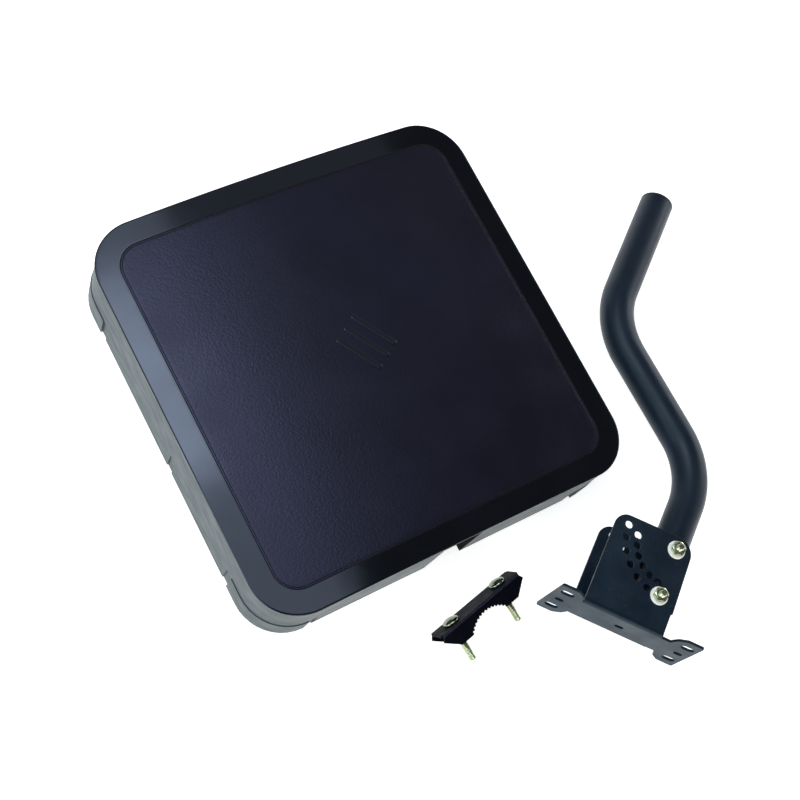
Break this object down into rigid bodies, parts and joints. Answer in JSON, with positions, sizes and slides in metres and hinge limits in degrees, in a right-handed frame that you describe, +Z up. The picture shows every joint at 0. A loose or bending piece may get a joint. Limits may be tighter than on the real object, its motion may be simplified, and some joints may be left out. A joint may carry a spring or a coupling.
{
  "type": "flat panel antenna",
  "caption": "Square flat-panel outdoor television antenna with a mast channel and coaxial outlet in its back, a tilting J-shaped mast mount and a toothed mast clamp.",
  "frame": {"origin": "bottom centre of the whole kit's box, on the surface that the kit lies on", "axes": "+Z up, out of the panel's front; +X along the panel's lower edge; +Y from the panel's cable end to its top end"},
  "size_m": [0.5552, 0.5254, 0.0731],
  "materials": {
    "cover": "dark satin moulded plastic",
    "housing": "grey, finely brushed moulded plastic",
    "black_plastic": "matte moulded plastic",
    "seal": "matte rubber",
    "mount_paint": "slate blue-black powder coat on steel",
    "clamp_paint": "black powder coat on steel",
    "zinc": "bright zinc with a yellow-green passivation",
    "nickel": "nickel plate",
    "board": "green solder mask",
    "copper": "bare copper",
    "aluminium": "plain rolled sheet"
  },
  "bodies": {
    "panel": {"front_cover": "cover", "rear_housing": "housing", "rim_gasket": "seal", "cover_screw_1": "zinc", "cover_screw_2": "zinc", "cover_screw_3": "zinc", "cover_screw_4": "zinc", "cover_screw_5": "zinc", "cover_screw_6": "zinc", "cover_screw_7": "zinc", "cover_screw_8": "zinc", "cover_screw_9": "zinc", "cover_screw_10": "zinc", "element_board": "board", "radiator_left": "copper", "radiator_right": "copper", "reflector": "aluminium", "amplifier_board": "board", "shield_can": "aluminium", "coax_connector": "nickel", "connector_washer": "nickel", "connector_nut": "nickel", "feed_lead": "black_plastic", "saddle_jaw": "black_plastic", "captive_nut_left": "zinc", "captive_nut_right": "zinc"},
    "mount_foot": {"foot_bracket": "mount_paint", "pivot_bolt": "zinc", "pivot_washer": "zinc", "pivot_nut": "zinc"},
    "mast": {"mast_tube": "mount_paint", "mast_end_cap": "black_plastic", "lock_bolt": "zinc", "lock_washer": "zinc", "lock_nut": "zinc"},
    "clamp": {"clamp_bracket": "clamp_paint"},
    "bolt_left": {"clamp_bolt_left": "zinc"},
    "bolt_right": {"clamp_bolt_right": "zinc"}
  },
  "joints": [
    {"name": "mount_lift", "type": "slide", "parent": "panel", "child": "mount_foot", "axis": [0, 0, 1], "range_m": [0, 0.15]},
    {"name": "mast_swing", "type": "hinge", "parent": "mount_foot", "child": "mast", "pos_m": [0.07701, -0.17837, 0.02822], "axis": [-0.0274, -0.0234, -0.9993], "range_deg": [0, 90]},
    {"name": "clamp_lift", "type": "slide", "parent": "panel", "child": "clamp", "axis": [0, 0, 1], "range_m": [0, 0.15]},
    {"name": "bolt_slide_left", "type": "slide", "parent": "clamp", "child": "bolt_left", "axis": [-0.1948, 0.9166, 0.3492], "range_m": [0, 0.03]},
    {"name": "bolt_slide_right", "type": "slide", "parent": "clamp", "child": "bolt_right", "axis": [-0.1948, 0.9166, 0.3492], "range_m": [0, 0.03]}
  ]
}
